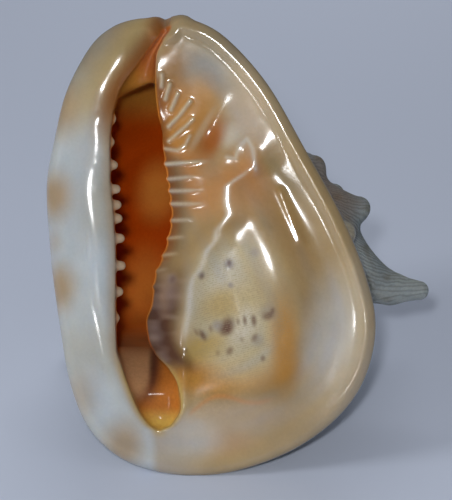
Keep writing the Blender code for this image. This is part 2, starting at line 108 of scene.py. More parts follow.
# narrow crests, as (x, z) along each, with height and half width: above the ridge, below it by the
# gutter, and on the right of the shield
CRESTS = ((((13, 152.5), (17, 152), (18.5, 157.5), (22.5, 161.5), (25, 157), (26.5, 147)), 0.8, 2.4),
          (((-7.5, 58), (-7, 50), (-7.5, 43), (-7, 35), (-9.5, 29.5), (-14, 26.5)), 1.0, 2.6),
          (((38.6, 136), (43, 125), (48, 113)), 0.9, 2.0))

# siphonal canal: a gutter that bends dorsally, open along its anterior side
SPOUT = ((-21, 18, 166), (-20, 22, 181), (-17, 33, 189), (-13, 46, 193), (-10, 57, 199))
SPOUT_RADII = (16, 15, 13.5, 12.5, 11.5)
SPOUT_BORE = (8, 8, 8.5, 8.5, 8.5)
SPOUT_BORE_END = (-6, 78, 211)
SPOUT_SLIT = ((22, 3.4), (36, 4.8), (60, 8.0))     # (y, half width)
BODY_TOP = 158             # where the last whorl hands over to the canal, along the coil axis



# ---- field tools -------------------------------------------------------------------------------
def unit(v):
    v = np.asarray(v, float)
    return v / np.linalg.norm(v)


def soft_min(a, b, blend):
    t = np.clip(0.5 + 0.5 * (b - a) / blend, 0, 1)
    return b + (a - b) * t - blend * t * (1 - t)


def soft_max(a, b, blend):
    return -soft_min(-a, -b, blend)


def smoothstep(low, high, v):
    t = np.clip((v - low) / (high - low), 0, 1)
    return t * t * (3 - 2 * t)


def hump(centre, half_width, v):
    return np.exp(-((v - centre) / half_width) ** 2)


def curve(knots, v):
    """A smooth monotone curve through a few knots, read at v."""
    at, value = np.asarray(knots, float).T
    step = np.diff(at)
    slope = np.diff(value) / step
    tangent = np.zeros_like(value)
    tangent[0], tangent[-1] = slope[0], slope[-1]
    before, after = slope[:-1], slope[1:]
    same_way = before * after > 0
    total = np.where(same_way, before + after, 1.0)
    tangent[1:-1] = np.where(same_way, 2 * before * after / total, 0.0)
    v = np.clip(v, at[0], at[-1])
    i = np.clip(np.searchsorted(at, v) - 1, 0, len(at) - 2)
    width = step[i]
    t = (v - at[i]) / width
    return (value[i] * (1 + 2 * t) * (1 - t) ** 2
            + tangent[i] * width * t * (1 - t) ** 2
            + value[i + 1] * t * t * (3 - 2 * t)
            + tangent[i + 1] * width * t * t * (t - 1))


def closed_spline(points, per_span=12):
    """Closed Catmull-Rom curve through the points, as a polygon."""
    p = np.asarray(points, float)
    a, b, c, d = np.roll(p, 1, 0), p, np.roll(p, -1, 0), np.roll(p, -2, 0)
    t = (np.arange(per_span) / per_span)[None, :, None]
    a, b, c, d = (q[:, None, :] for q in (a, b, c, d))
    loop = 0.5 * (2 * b + (c - a) * t + (2 * a - 5 * b + 4 * c - d) * t ** 2
                  + (3 * b - a - 3 * c + d) * t ** 3)
    return loop.reshape(-1, 2)


def polygon_distance(polygon, x, z):
    """Distance to a closed polygon in the face plane, negative inside."""
    x, z = np.broadcast_arrays(x, z)
    nearest = np.full(x.shape, np.inf)
    inside = np.zeros(x.shape, bool)
    for (ax, az), (bx, bz) in zip(polygon, np.roll(polygon, -1, 0)):
        ex, ez = bx - ax, bz - az
        t = np.clip(((x - ax) * ex + (z - az) * ez) / (ex * ex + ez * ez), 0, 1)
        nearest = np.minimum(nearest, (x - ax - t * ex) ** 2 + (z - az - t * ez) ** 2)
        if ez != 0:
            inside ^= ((az > z) != (bz > z)) & (x < (z - az) / ez * ex + ax)
    return np.sqrt(nearest) * np.where(inside, -1, 1)


class PlaneMap:
    """A function of (x, z) sampled once on a grid, smoothed if asked, and read back smoothly."""

    def __init__(self, function, low, high, step, smoothings=0):
        self.low, self.step = low, step
        self.xs = np.arange(low[0], high[0] + step, step)
        self.zs = np.arange(low[1], high[1] + step, step)
        self.values = function(self.xs[:, None], self.zs[None, :])
        for _ in range(smoothings):
            for axis in (0, 1):
                before, after = np.roll(self.values, 1, axis), np.roll(self.values, -1, axis)
                self.values = 0.5 * self.values + 0.25 * (before + after)

    def __call__(self, x, z):
        margin = 1.001
        i = np.clip((x - self.low[0]) / self.step, 0, len(self.xs) - margin)
        j = np.clip((z - self.low[1]) / self.step, 0, len(self.zs) - margin)
        i, j = np.broadcast_arrays(i, j)
        i0, j0 = i.astype(int), j.astype(int)
        u, w = i - i0, j - j0
        v = self.values
        return (v[i0, j0] * (1 - u) * (1 - w) + v[i0 + 1, j0] * u * (1 - w)
                + v[i0, j0 + 1] * (1 - u) * w + v[i0 + 1, j0 + 1] * u * w)


def round_cone(x, y, z, start, end, start_radius, end_radius):
    start, end = np.asarray(start, float), np.asarray(end, float)
    length = np.linalg.norm(end - start)
    d = (end - start) / length
    along = ((x - start[0]) * d[0] + (y - start[1]) * d[1] + (z - start[2]) * d[2]) / length
    t = np.clip(along, 0, 1)
    reach = t * length
    gap = np.sqrt((x - start[0] - reach * d[0]) ** 2 + (y - start[1] - reach * d[1]) ** 2
                  + (z - start[2] - reach * d[2]) ** 2)
    return gap - (start_radius + (end_radius - start_radius) * t)


def tube(x, y, z, points, radii):
    field = None
    for a, b, ra, rb in zip(points[:-1], points[1:], radii[:-1], radii[1:]):
        piece = round_cone(x, y, z, a, b, ra, rb)
        field = piece if field is None else soft_min(field, piece, 2.0)
    return field


# ---- the coil ----------------------------------------------------------------------------------
TURN = 2 * math.pi
AXIS = unit(np.subtract(CANAL_END, APEX))
RIGHT = unit(np.array([1.0, 0, 0]) - AXIS[0] * AXIS)
VENTRAL = np.cross(RIGHT, AXIS)


def coil_coordinates(x, y, z):
    """Height along the coil axis, distance from it, and the angle round it from the ventral side."""
    q = (x - APEX[0], y - APEX[1], z - APEX[2])
    height, right, ventral = (q[0] * d[0] + q[1] * d[1] + q[2] * d[2] for d in (AXIS, RIGHT, VENTRAL))
    return height, np.hypot(right, ventral), np.arctan2(right, ventral) % TURN


def shoulder_radius(angle, whorl):
    """Shoulder radius at an angle; whorl 0 is the last one and the spire's are 1, 2, 3..."""
    t = (angle - 0.75 * TURN) / TURN - whorl
    late = 0.431 * t - 0.274 * t * t
    early = -0.705 + 0.56 * (t + 1)
    return LAST_RADIUS * np.exp(np.where(t > -1, late, early))


def whorl_section(distance, height, shoulder):
    """Outer section of one whorl: a tapering side under a sloping ramp."""
    r, k = distance / shoulder, height / shoulder
    side = (r - curve(WHORL_PROFILE, k)) * 0.9
    ramp = (0.40 - 0.30 * (1 - r) - k) * 0.957
    return soft_max(soft_max(side, ramp, 0.16) * shoulder, height - BODY_TOP, 8)


def on_whorl(degrees, height_share, whorl=0):
    """A point on a whorl's outside, the outward direction there, and the shoulder radius."""
    angle = math.radians(degrees)
    shoulder = float(shoulder_radius(angle, whorl))
    reach = float(curve(WHORL_PROFILE, height_share)) * shoulder
    out = math.sin(angle) * RIGHT + math.cos(angle) * VENTRAL
    return np.array(APEX) + height_share * shoulder * AXIS + reach * out, out, shoulder


def knobs(x, y, z, field):
    for degrees, reach, droop, root in HORNS:
        p, out, _ = on_whorl(degrees, 0.5)
        tip = p + reach * out - droop * AXIS
        bend = p + 0.42 * reach * out - 0.66 * droop * AXIS
        foot = round_cone(x, y, z, p - 7 * out + 3 * AXIS, bend, root, 0.55 * root)
        finger = round_cone(x, y, z, bend, tip, 0.55 * root, HORN_TIP_RADIUS)
        field = soft_min(field, soft_min(foot, finger, 4), 14)
    for row, share, root, reach, tip in ((MIDDLE_KNOBS, 1.03, 11, 7, 6), (FRONT_KNOBS, 1.42, 10, 5, 5.5)):
        for degrees in row:
            p, out, _ = on_whorl(degrees, share)
            knob = round_cone(x, y, z, p - 4 * out, p + reach * out - 2 * AXIS, root, tip)
            field = soft_min(field, knob, 10)
    for turn in range(1, SPIRE_KNOB_TURNS + 1):
        for n in range(SPIRE_KNOBS_PER_TURN):
            degrees = 360 * n / SPIRE_KNOBS_PER_TURN
            p, out, shoulder = on_whorl(degrees, 0.42, turn)
            aim = 0.10 * out - 0.08 * AXIS
            knob = round_cone(x, y, z, p - 0.05 * shoulder * out, p + shoulder * aim,
                              0.12 * shoulder, 0.07 * shoulder)
            field = soft_min(field, knob, 0.09 * shoulder)
    return field


# ---- the aperture side ---------------------------------------------------------------------------
def slot_distance(x, z):
    """Distance to the aperture's outline, negative in the opening; folds end in beads on its edge."""
    beads = sum(0.9 * hump(fold[0], 1.3, z) for fold in FOLDS)
    left, right = curve(LIP_EDGE, z), curve(COLUMELLA_EDGE, z) - beads
    return soft_max(soft_max(soft_max(left - x, x - right, 2), 21.5 - z, 4), z - SLOT_TOP, 3)


def line_distance(x, z, points):
    """Distance in the face plane to a chain of straight pieces."""
    nearest = np.inf
    for (ax, az), (bx, bz) in zip(points[:-1], points[1:]):
        ex, ez = bx - ax, bz - az
        t = np.clip(((x - ax) * ex + (z - az) * ez) / (ex * ex + ez * ez), 0, 1)
        nearest = np.minimum(nearest, np.hypot(x - ax - t * ex, z - az - t * ez))
    return nearest


def fold_relief(x, z):
    """Height of the folds and slanting teeth beside the aperture."""
    raised = np.zeros(np.broadcast(x, z).shape)
    for start, length, rise, height in FOLDS:
        t = (x - float(curve(COLUMELLA_EDGE, start))) / length
        along = smoothstep(-0.3, 0.0, t) * smoothstep(1.1, 0.5, t)
        raised = np.maximum(raised, height * along * hump(0, 0.9, z - start - rise * t))
    for points, height in DENTICLES:
        raised = np.maximum(raised, height * hump(0, 0.9, line_distance(x, z, points)))
    return raised


FACE_LOW, FACE_HIGH = (-100, -30), (130, 250)
RIM_MAP = PlaneMap(lambda x, z: polygon_distance(closed_spline(RIM), x, z), FACE_LOW, FACE_HIGH, 0.75)
ROUNDED_RIM_MAP = PlaneMap(lambda x, z: RIM_MAP(x, z), FACE_LOW, FACE_HIGH, 0.75, 60)


def face_relief(x, z):
    """Everything raised on the aperture side: the rim's crest, the shield's crests and the folds."""
    depth_in = -RIM_MAP(x, z)
    on_shield = smoothstep(-36, -10, x) * smoothstep(18, 58, z)
    rim_crest = 2.2 * hump(4.8, 2.6, depth_in) * on_shield
    crest = sum(height * hump(0, width, line_distance(x, z, points)) for points, height, width in CRESTS)
    return rim_crest + crest + fold_relief(x, z)


def face_shape(x, z):
    """How far dorsal the aperture side lies at (x, z), without its relief."""
    depth_in = -ROUNDED_RIM_MAP(x, z)
    lip = smoothstep(-10, -36, x)
    low = smoothstep(60, 20, z)
    body_bulge = -6.0 * np.exp(-((x - 38) / 27) ** 2 - ((z - 94) / 40) ** 2)
    ridge = -2.4 * hump(curve(RIDGE, z), 7.5, x) * smoothstep(40, 60, z) * smoothstep(172, 150, z)
    upper = smoothstep(140, 168, z)
    trough = 3.0 * smoothstep(4, 19, depth_in) * smoothstep(42, 19, depth_in) * smoothstep(-6, 14, x)
    dish = 4.6 * smoothstep(2, 44, depth_in)
    trough = trough * (1 - upper) + dish * upper
    slant = math.radians(HOLLOW_SLANT)
    along = (x - HOLLOW[0]) * math.cos(slant) + (z - HOLLOW[1]) * math.sin(slant)
    across = (z - HOLLOW[1]) * math.cos(slant) - (x - HOLLOW[0]) * math.sin(slant)
    hollow = 2.6 * hump(0, 15, along) * hump(0, 6, across)
    shield = trough + hollow + body_bulge + ridge - 0.5
    ripple = 0.35 * np.sin(z / 7.5 + 1.3 * np.sin(x / 9)) + 0.3 * np.sin(z / 15 - x / 11)
    roll = 1.5 - 7.5 * hump(21, 15, depth_in) + ripple
    low_shield = -4.5 + 6.1 * smoothstep(42, 3, depth_in) + 0.4 * ripple
    front = shield * (1 - lip) + roll * lip
    front = front * (1 - low) + low_shield * low
    return front + rounded_into_aperture(x, z)


def rounded_into_aperture(x, z):
    """Both edges of the aperture curve inward; the lip's only near the canal."""
    beside = np.clip(1 - (x - curve(COLUMELLA_EDGE, z)) / 17, 0, 1)
    columella = (4.5 - 1.5 * smoothstep(150, 180, z)) * beside ** 2 * smoothstep(44, 70, z)
    lip_side = np.clip(1 + (x - curve(LIP_EDGE, z)) / 20, 0, 1)
    middle = (curve(LIP_EDGE, z) + curve(COLUMELLA_EDGE, z)) / 2
    return np.where(x > middle, columella, 5.0 * lip_side ** 2 * smoothstep(150, 185, z))


def face_back(x, z):
    """The plain dorsal side of the same plate; the lip and the low rim are the thickest."""
    lip = smoothstep(-10, -36, x)
    low = smoothstep(58, 18, z)
    depth_in = -ROUNDED_RIM_MAP(x, z)
    return face_shape(x, z) + 6 + 7.5 * lip + 3.5 * low * (1 - lip) + 0.05 * np.maximum(depth_in, 0)


SLOT_MAP = PlaneMap(slot_distance, FACE_LOW, FACE_HIGH, 0.5)
FRONT_MAP = PlaneMap(lambda x, z: face_shape(x, z) - face_relief(x, z), FACE_LOW, FACE_HIGH, 0.5)
BACK_MAP = PlaneMap(face_back, FACE_LOW, FACE_HIGH, 0.75)


def face_plate(x, y, z):
    """The shield and the outer lip: one plate with a rolled margin."""
    front, back = FRONT_MAP(x, z), BACK_MAP(x, z)
    middle, half = (front + back) / 2, (back - front) / 2
    radius = np.minimum(half, 6.5)
    across, through = RIM_MAP(x, z) + radius, np.abs(y - middle) - (half - radius)
    outside = np.hypot(np.maximum(across, 0), np.maximum(through, 0))
    return outside + np.minimum(np.maximum(across, through), 0) - radius


def lip_teeth(x, y, z, field):
    for height, size in LIP_TEETH:
        edge = float(curve(LIP_EDGE, height))
        tooth = round_cone(x, y, z, (edge - 6, -1.0, height), (edge + size - 2.0, 3.0, height), 3.2, 1.9)
        ridge = round_cone(x, y, z, (edge + size - 2.0, 3.0, height), (edge - 1.0, 16.0, height), 1.9, 1.2)
        field = soft_min(field, soft_min(tooth, ridge, 1.5), 2.0)
    return field


def outside_of_shell(x, y, z):
    height, distance, angle = coil_coordinates(x, y, z)
    last = whorl_section(distance, height, shoulder_radius(angle, 0))
    quarter = 0.25 * TURN
    past_end = np.where(angle < quarter, angle + TURN, angle)
    ending = whorl_section(distance, height, shoulder_radius(past_end, 0))
    ending = soft_max(ending, distance * np.sin(angle), 2)
    last = np.where(angle < quarter, soft_min(last, ending, 2), np.where(angle > 3 * quarter, ending, last))
    growing_edge = np.where(angle > math.pi, 4.0 - y, -50.0)
    field = soft_max(last, growing_edge, 4)
    for whorl in range(1, SPIRE_WHORLS + 1):
        spire = whorl_section(distance, height, shoulder_radius(angle, whorl))
        field = soft_min(field, spire, 2.0)
    field = knobs(x, y, z, field)
    field = soft_min(field, tube(x, y, z, SPOUT, SPOUT_RADII), 14)
    lining = soft_max(main_chamber(x, y, z) - WALL, 3.0 - y, 4)
    field = soft_min(field, lining, 4)
    field = soft_max(field, FRONT_MAP(x, z) + BEHIND_FACE - y, 3)
    return soft_min(field, face_plate(x, y, z), 7)


def main_chamber(x, y, z):
    """The last whorl's living chamber and the throat that opens it at the aperture."""
    height, distance, angle = coil_coordinates(x, y, z)
    outer, middle, inner = (whorl_section(distance, height, shoulder_radius(angle, n)) for n in range(3))
    column = COLUMELLA_RADIUS - distance
    last = soft_max(soft_max(outer + WALL, 2.0 - middle, 6), column, 6)
    last = soft_max(last, np.where(angle > math.pi, 12.0 - y, -50.0), 8)
    last = soft_max(last, np.where(angle > math.pi, WALL - (TURN - angle) * distance, -50.0), 4)
    earlier = soft_max(soft_max(middle + WALL, 2.0 - inner, 4), 0.6 * column, 4)
    earlier = soft_max(earlier, (BLIND_END * TURN - angle) * distance, 6)
    chamber = np.minimum(last, earlier)
    floor = 6 + 42 * smoothstep(38, 80, z) - 26 * smoothstep(140, 180, z) - 11 * smoothstep(168, 192, z)
    throat = soft_max(SLOT_MAP(x, z), y - floor, 8)
    return soft_min(chamber, throat, 8)


def shell_wall(x, y, z):
    canal = tube(x, y, z, SPOUT[:-1] + (SPOUT_BORE_END,), SPOUT_BORE)
    path = [(point[1], point[0], point[2]) for point in SPOUT]
    across = np.abs(x - curve([p[:2] for p in path], y)) - curve(SPOUT_SLIT, y)
    slit = soft_max(soft_max(across, curve([p[::2] for p in path], y) - z, 4), SPOUT_SLIT[0][0] - y, 4)
    hollow = soft_min(main_chamber(x, y, z), soft_min(canal, slit, 3), 6)
    field = soft_max(outside_of_shell(x, y, z), -hollow, 1.2)
    return lip_teeth(x, y, z, field)


# ---- fine surface ------------------------------------------------------------------------------
BLOCK = 6                  # grid cells along one side of a sampling block
REACH = 1.35               # blocks within this many half diagonals of the surface are sampled


def sample_field(step):
    """The field on a fine grid, worked out only in the blocks that the surface passes near."""
    low, high = np.array(FIELD_LOW), np.array(FIELD_HIGH)
    blocks = np.ceil((high - low) / (step * BLOCK)).astype(int)
    values = np.empty(blocks * BLOCK, np.float32)
    centre = [low[i] + step * BLOCK * (np.arange(blocks[i]) + 0.5) for i in range(3)]
    x, y, z = np.meshgrid(*centre, indexing="ij")
    coarse = shell_wall(x, y, z)
    near = np.abs(coarse) < REACH * 0.5 * math.sqrt(3) * step * BLOCK
    for axis in range(3):
        coarse = np.repeat(coarse, BLOCK, axis)
    values[:] = coarse
    offsets = step * np.stack(np.meshgrid(*[np.arange(BLOCK)] * 3, indexing="ij"), -1)
    chosen = np.argwhere(near)
    batch = 1500
    for start in range(0, len(chosen), batch):
        cells = chosen[start:start + batch]
        corner = low + step * BLOCK * cells
        p = corner[:, None, None, None, :] + offsets
        fine = shell_wall(p[..., 0], p[..., 1], p[..., 2])
        for (i, j, k), block in zip(cells * BLOCK, fine):
            values[i:i + BLOCK, j:j + BLOCK, k:k + BLOCK] = block
    return values


def surface_mesh(step):
    grid = openvdb.FloatGrid(1000.0)
    grid.copyFromArray(sample_field(step))
    points, quads = grid.convertToQuads(isovalue=0.0)
    return np.asarray(points) * step + np.array(FIELD_LOW), np.asarray(quads)


# ---- colours -----------------------------------------------------------------------------------
def blend(colour, other, mask):
    return colour + (np.asarray(other) - colour) * np.asarray(mask)[:, None]


def spot(x, z, at, radius, soft=1.0, stretch=1.0, angle=0.0):
    """1 inside a soft ellipse on the face, 0 outside; stretch lengthens it along angle (degrees)."""
    a = math.radians(angle)
    dx, dz = x - at[0], z - at[1]
    along, across = dx * math.cos(a) + dz * math.sin(a), dz * math.cos(a) - dx * math.sin(a)
    r = np.hypot(along / stretch, across) / radius
    return smoothstep(1 + 0.5 * soft, 1 - 0.5 * soft, r)


def value_noise(x, y, z, size, seed):
    """Smooth noise from -1 to 1, the same on every run."""
    p = [x / size + 17.1 * seed, y / size + 5.3 * seed, z / size - 9.7 * seed]
    base = [np.floor(q).astype(np.int64) for q in p]
    t = [q - b for q, b in zip(p, base)]
    t = [q * q * (3 - 2 * q) for q in t]
    total = 0.0
    for corner in range(8):
        bits = [(corner >> n) & 1 for n in range(3)]
        h = sum((b + bit) * prime for b, bit, prime in zip(base, bits, (73856093, 19349663, 83492791)))
        h = (h ^ (h >> 13)) * 1274126177
        h = ((h ^ (h >> 16)) & 0xFFFF) / 32767.5 - 1.0
        weight = 1.0
        for bit, q in zip(bits, t):
            weight = weight * (q if bit else 1 - q)
        total = total + weight * h
    return total


LIGHT_ON_FACE = 0.76       # share of its own colour that the aperture side sends to the camera


def look(red, green, blue):
    """Paint that shows as this display colour (0 to 255) on the lit aperture side."""
    linear = ((np.array((red, green, blue)) / 255 + 0.055) / 1.055) ** 2.4
    return tuple(np.minimum(linear / LIGHT_ON_FACE, 0.9))


LIP_WHITE = look(163, 171, 176)
LIP_TAN = look(144, 119, 84)
LIP_CREAM = look(140, 131, 110)
CREAM = look(154, 134, 102)
PALE_CREAM = look(162, 150, 128)
PINK_BEIGE = look(170, 152, 132)
PEARL = look(176, 172, 164)
TAN = look(138, 113, 74)
BROWN = look(136, 100, 58)
OLIVE = look(128, 112, 78)
ORANGE = look(168, 114, 64)
AMBER = look(160, 112, 46)
YELLOW = look(160, 134, 74)
SALMON = look(168, 136, 100)
RECESS = look(152, 102, 50)
RECESS_LIGHT = look(166, 118, 60)
DEEP_ORANGE = look(138, 76, 24)
FOLD_BROWN = look(112, 62, 22)
FOLD_GREY = look(110, 90, 62)
BAND_ORANGE = look(166, 120, 82)
RIDGE_WHITE = look(176, 160, 134)
WINDOW_CREAM = look(172, 162, 134)
WINDOW_LIGHT = look(184, 178, 164)
HAZE = look(130, 126, 116)
SPOT_BROWN = look(76, 36, 22)
SPOT_GREY = look(118, 114, 118)
CALLUS_PURPLE = look(68, 42, 33)
CALLUS_GREY = look(116, 96, 86)
GUTTER_BROWN = look(98, 56, 36)
GUTTER_ORANGE = look(168, 106, 44)
TONGUE_BROWN = look(172, 130, 92)
# lit and shaded copies of the hollow's orange: painted light near the mouth and in two patches, painted shade
# deeper in
INSIDE_ORANGE_PAINTED_SHADE = (0.54, 0.07, 0.002)
INSIDE_ORANGE_PAINTED_LIGHT = (0.86, 0.30, 0.05)
WHORL_GREY = look(122, 130, 132)
WHORL_PALE = look(152, 157, 156)
WHORL_OLIVE = look(100, 96, 82)
WHORL_RUST = look(118, 88, 66)
HORN_TIP = look(146, 154, 154)
RIM_SHADE = look(92, 88, 72)
CANAL_BROWN = look(128, 78, 34)
CANAL_LIGHT = look(166, 112, 44)
CANAL_DEEP = look(160, 92, 46)
GUTTER_YELLOW = look(200, 168, 84)

# patches of colour on the shield: paint, strength, (x, z), radius, softness, stretch, slant in degrees
UPPER_PATCHES = ((BROWN, 0.95, (-10, 197), 9, 1.4, 1.8, 75),
                 (LIP_CREAM, 0.7, (0, 207), 9, 1.4, 1.8, -30),
                 (HAZE, 0.9, (3.5, 192), 9, 1.2, 1.2, -30),
                 (PALE_CREAM, 0.7, (28, 176), 11, 1.5, 2.0, -62),
                 (PINK_BEIGE, 0.8, (24, 172), 9, 1.5, 1.6, -70),
                 (WINDOW_LIGHT, 0.6, (13, 163), 5, 1.5, 1.2, 0),
                 (ORANGE, 0.8, (18, 139), 13, 1.4, 1.5, 40),
                 (SALMON, 0.6, (14, 124), 10, 1.4, 1.5, 60),
                 (OLIVE, 0.9, (38, 143), 6, 1.4, 2.4, -62),
                 (BAND_ORANGE, 0.8, (37, 127), 5.5, 1.5, 4.2, -60),
                 (TAN, 0.85, (42, 122), 9, 1.5, 2.2, -64),
                 (TAN, 0.5, (56, 108), 8, 1.5, 2.6, -64))
MARGIN_PATCHES = ((PINK_BEIGE, 0.6, (18, 29), 7, 1.5, 4.2, 5),
                  (SALMON, 0.7, (10, 16), 6, 1.5, 2.4, 5),
                  (PEARL, 0.95, (-10, 18), 10, 1.4, 1.6, 0),
                  (PEARL, 0.8, (64, 66), 13, 1.4, 2.2, 80),
                  (CREAM, 0.5, (56, 36), 12, 1.4, 1.8, 45))
BELT_PATCHES = ((AMBER, 0.8, (40, 66), 6, 1.4, 3.6, 92),
                (YELLOW, 0.8, (1, 62), 6, 1.4, 1.8, 20))
WINDOW_PATCHES = ((WINDOW_LIGHT, 0.7, (21, 73), 5, 1.4, 1.7, 60),
                  (YELLOW, 0.7, (10.5, 83), 7, 1.4, 1.4, 30),
                  (TAN, 0.45, (34, 93), 9, 1.4, 1.8, -70))

# (x, z), radius, strength
LIP_BLOTCHES = (((-49, 201), 8, 0.3), ((-65, 176), 9, 0.9), ((-69.5, 134), 8, 1.0), ((-68, 90), 8, 1.0),
                ((-57.5, 38), 8, 0.5), ((-36, 15), 9, 0.9), ((-70, 112), 4, 0.4), ((-38, 212), 6, 0.5))
GREY_SPOTS = (((13.8, 101.9), 2.2, 1.0), ((0.5, 97), 1.8, 0.9), ((-13.3, 94.7), 2.0, 0.9),
              ((26.2, 107.6), 2.0, 0.5), ((14.8, 91.9), 1.3, 0.9), ((-16.2, 56.6), 2.4, 0.6),
              ((31.9, 79), 3.6, 0.55), ((28.1, 65.2), 3.0, 0.6), ((8.5, 72.5), 2.4, 0.8),
              ((2, 68), 2.2, 0.5))
# (x, z), radius, strength, slant, stretch
BROWN_SPOTS = (((13.3, 72.4), 2.9, 1.0, 75, 1.3), ((12.2, 70.2), 2.0, 0.7, 20, 1.4),
               ((25.7, 75.2), 1.2, 0.9, 95, 2.2), ((21.4, 75.2), 0.9, 0.8, 95, 2.4),
               ((18.2, 74.6), 0.8, 0.6, 95, 2.0), ((32.5, 77.5), 1.6, 0.7, 20, 1.6),
               ((34.5, 80), 1.0, 0.6, 60, 1.4), ((30, 57.1), 1.0, 0.7, 85, 1.3),
               ((14.3, 60.5), 1.4, 0.7, 60, 1.4), ((8.6, 59.5), 1.1, 0.4, 90, 1.2),
               ((1.4, 68.1), 1.1, 0.8, 120, 2.4), ((-1.6, 69.5), 0.8, 0.5, 120, 2.2),
               ((-7, 61), 1.2, 0.4, 90, 1.3), ((5.2, 71.2), 0.8, 0.6, 100, 2.0),
               ((20, 66), 0.9, 0.4, 90, 1.4), ((26, 67), 1.2, 0.6, 60, 1.5),
               ((14, 102.5), 1.0, 0.7, 90, 1.3), ((1, 96), 1.0, 0.6, 70, 1.5),
               ((-13, 94.5), 1.0, 0.7, 60, 1.5))
GUTTER_TOP = 62
ROUND_SCALE = 6.0          # how the angle round the coil counts against centimetres along its axis


def over_window(x, z):
    """1 over the patch of old whorl that shows through the shield."""
    return spot(x, z, (19, 80), 25, 0.6, 1.35, 95)


def patches(x, z, colour, table):
    for paint, strength, at, radius, soft, stretch, slant in table:
        colour = blend(colour, paint, strength * spot(x, z, at, radius, soft, stretch, slant))
    return colour


def lower_shield(x, z, colour):
    """The amber belt round the window, the paler margin below it and the dots of the old whorl."""
    window = over_window(x, z)
    belt = spot(x, z, (17, 78), 38, 0.45, 1.25, 98) * (1 - window)
    colour = blend(colour, TAN, 0.8 * belt)
    colour = blend(colour, AMBER, spot(x, z, (12, 49), 8, 1.2, 3.8, 3))
    wavy = 37.5 + 1.8 * np.sin(x / 5.5) - 0.02 * (x - 12) ** 2 * (x < 12)
    thin_line = hump(0, 1.2, z - wavy) * smoothstep(-8, -3, x) * smoothstep(38, 28, x)
    colour = blend(colour, ORANGE, 0.7 * thin_line)
    colour = patches(x, z, colour, MARGIN_PATCHES)
    colour = blend(colour, WINDOW_CREAM, 0.85 * window)
    colour = patches(x, z, colour, BELT_PATCHES)
    colour = blend(colour, WINDOW_LIGHT, 0.4 * spot(x, z, (10, 94), 9, 1.5, 1.6, 40) * window)
    colour = patches(x, z, colour, WINDOW_PATCHES)
    for at, radius, strength in GREY_SPOTS:
        colour = blend(colour, SPOT_GREY, 0.75 * strength * spot(x, z, at, radius, 1.5))
    for at, radius, strength, slant, stretch in BROWN_SPOTS:
        colour = blend(colour, SPOT_BROWN, 0.85 * strength * spot(x, z, at, radius, 1.4, stretch, slant))
    return colour


def ridge_paleness_and_painted_highlight(x, z, colour):
    """A pale line along the crooked ridge and the crest above it: partly the ridge's own paleness, partly a
    painted highlight.
    """
    along_ridge = hump(curve(RIDGE, z), 1.4, x) * smoothstep(62, 72, z) * smoothstep(150, 142, z)
    along_crest = hump(0, 1.1, line_distance(x, z, CRESTS[0][0]))
    # painted highlight along the crests of the ridge, in the window's pale paint
    return blend(colour, WINDOW_LIGHT, 0.6 * np.maximum(along_ridge, along_crest))


def beside_aperture(x, z, colour, fleck):
    """The recess under the slanting teeth, the folds, and the wrinkled callus below them."""
    beside = x - curve(COLUMELLA_EDGE, z)
    recess = smoothstep(24, 10, beside) * smoothstep(150, 160, z) * smoothstep(192, 180, z)
    colour = blend(colour, RECESS, recess)
    colour = blend(colour, RECESS_LIGHT, 0.9 * spot(x, z, (-4, 170), 11, 1.1, 1.7, 72))
    colour = blend(colour, DEEP_ORANGE, 0.9 * spot(x, z, (5.5, 161), 5, 1.4, 2.0, 65))
    colour = blend(colour, RIDGE_WHITE, 0.5 * spot(x, z, (0.5, 165), 1.6, 1.4, 7, 60))
    zone = smoothstep(27, 8, beside) * smoothstep(120, 134, z) * smoothstep(160, 152, z)
    colour = blend(colour, ORANGE, 0.9 * zone)
    grey = smoothstep(12, 4, beside) * smoothstep(84, 112, z) * smoothstep(156, 150, z)
    colour = blend(colour, FOLD_GREY, 0.85 * grey)
    dark = smoothstep(7, 0, beside) * smoothstep(90, 110, z) * smoothstep(196, 186, z)
    colour = blend(colour, FOLD_BROWN, 0.9 * dark)
    raised = fold_relief(x, z)
    colour = blend(colour, RIDGE_WHITE, np.clip(0.95 * raised, 0, 0.95))
    callus = smoothstep(20, 9, beside) * smoothstep(46, 58, z) * smoothstep(106, 88, z)
    wrinkle = 0.5 + 0.5 * value_noise(0.5 * x, 0 * x, 1.6 * z, 4, 8) + 0.5 * fleck
    greyness = np.clip(1.3 * wrinkle - 0.2 - 0.3 * smoothstep(70, 58, z), 0, 1)
    purple = blend(np.tile(np.array(CALLUS_PURPLE), (len(x), 1)), CALLUS_GREY, greyness)
    return colour + (purple - colour) * (0.95 * callus)[:, None]


def lip_paint(x, z, cloud):
    colour = np.tile(np.array(LIP_WHITE), (len(x), 1))
    colour = blend(colour, LIP_CREAM, 0.75 * smoothstep(165, 205, z))
    colour = blend(colour, LIP_CREAM, np.clip(0.15 + 0.5 * cloud, 0, 0.5))
    for at, radius, strength in LIP_BLOTCHES:
        colour = blend(colour, LIP_TAN, 0.85 * strength * spot(x, z, at, radius, 1.6, 1.3, 80))
    colour = colour * (1 - 0.2 * smoothstep(175, 200, z))[:, None]
    inner_edge = x - curve(LIP_EDGE, z)
    colour = blend(colour, LIP_TAN, 0.6 * smoothstep(-6, 0, inner_edge))
    towards_canal = smoothstep(150, 182, z)
    colour = blend(colour, YELLOW, 0.6 * smoothstep(-26, -10, inner_edge) * towards_canal)
    return blend(colour, CANAL_BROWN, 0.95 * smoothstep(-13, -1, inner_edge) * towards_canal)


